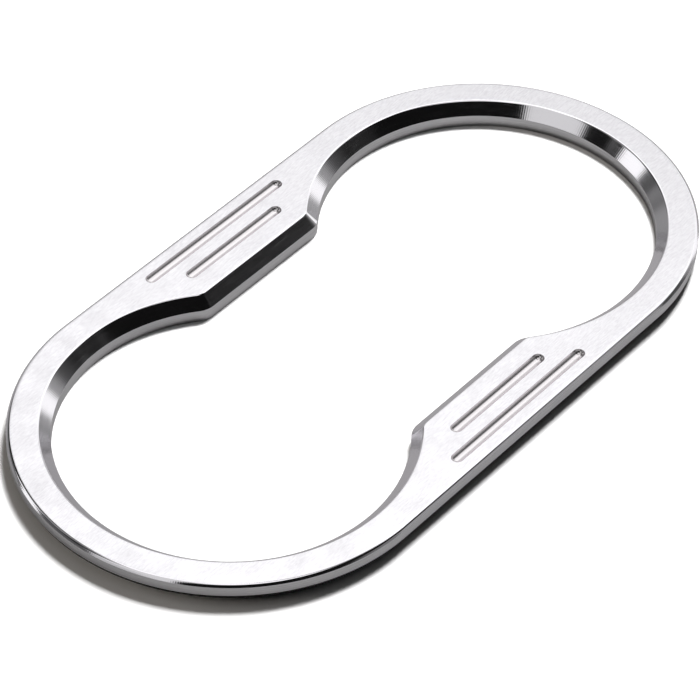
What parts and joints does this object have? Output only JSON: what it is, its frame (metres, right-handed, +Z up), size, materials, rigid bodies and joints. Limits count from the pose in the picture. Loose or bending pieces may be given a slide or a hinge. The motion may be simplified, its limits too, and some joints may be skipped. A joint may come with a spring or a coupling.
{
  "type": "cup well trim ring",
  "caption": "Low machined aluminium trim ring: a long round-ended flange round two wells joined by a waist, with milled grooves on the pads and foam tape below.",
  "frame": {"origin": "middle of the lip's foot, on the surface that the ring lies on", "axes": "+X along the length, +Y across the waist, +Z up out of the polished face"},
  "size_m": [0.1924, 0.1, 0.0059],
  "materials": {
    "machined_aluminium": "fine lapped top face, polished bevel, milled walls",
    "foam_tape": "matte closed-cell foam"
  },
  "bodies": {
    "root": {"trim_ring": "machined_aluminium", "tape_right_end": "foam_tape", "tape_left_end": "foam_tape", "tape_back_side": "foam_tape", "tape_front_side": "foam_tape"}
  },
  "joints": []
}
